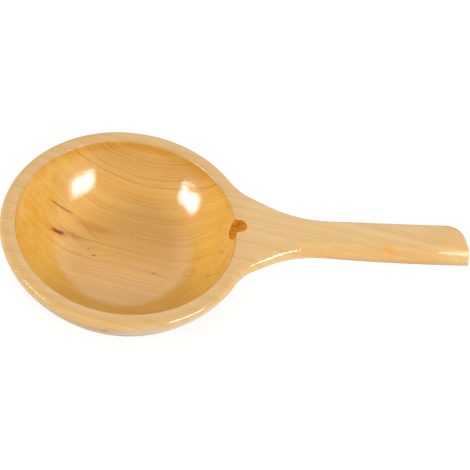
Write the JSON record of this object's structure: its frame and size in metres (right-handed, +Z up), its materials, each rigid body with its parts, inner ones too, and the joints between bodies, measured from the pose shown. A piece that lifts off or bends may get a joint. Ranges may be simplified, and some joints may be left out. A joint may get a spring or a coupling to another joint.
{
  "type": "wooden water dipper",
  "caption": "Varnished wooden water dipper: a round, flat-bottomed bowl with a short flared handle level with its rim, joined by hidden dowels.",
  "frame": {"origin": "centre of the flat foot the bowl stands on, on the bowl's turning axis", "axes": "+X along the handle towards its free end, +Z up out of the bowl's mouth"},
  "size_m": [0.3018, 0.1592, 0.05],
  "materials": {
    "bowl_wood": "clear gloss varnish",
    "handle_wood": "clear gloss varnish",
    "locking_dowel_wood": "dark hardwood, varnished end",
    "blind_dowel_wood": "plain turned hardwood"
  },
  "bodies": {
    "root": {"bowl": "bowl_wood", "handle": "handle_wood", "locking_dowel": "locking_dowel_wood", "blind_dowels": "blind_dowel_wood"}
  },
  "joints": []
}
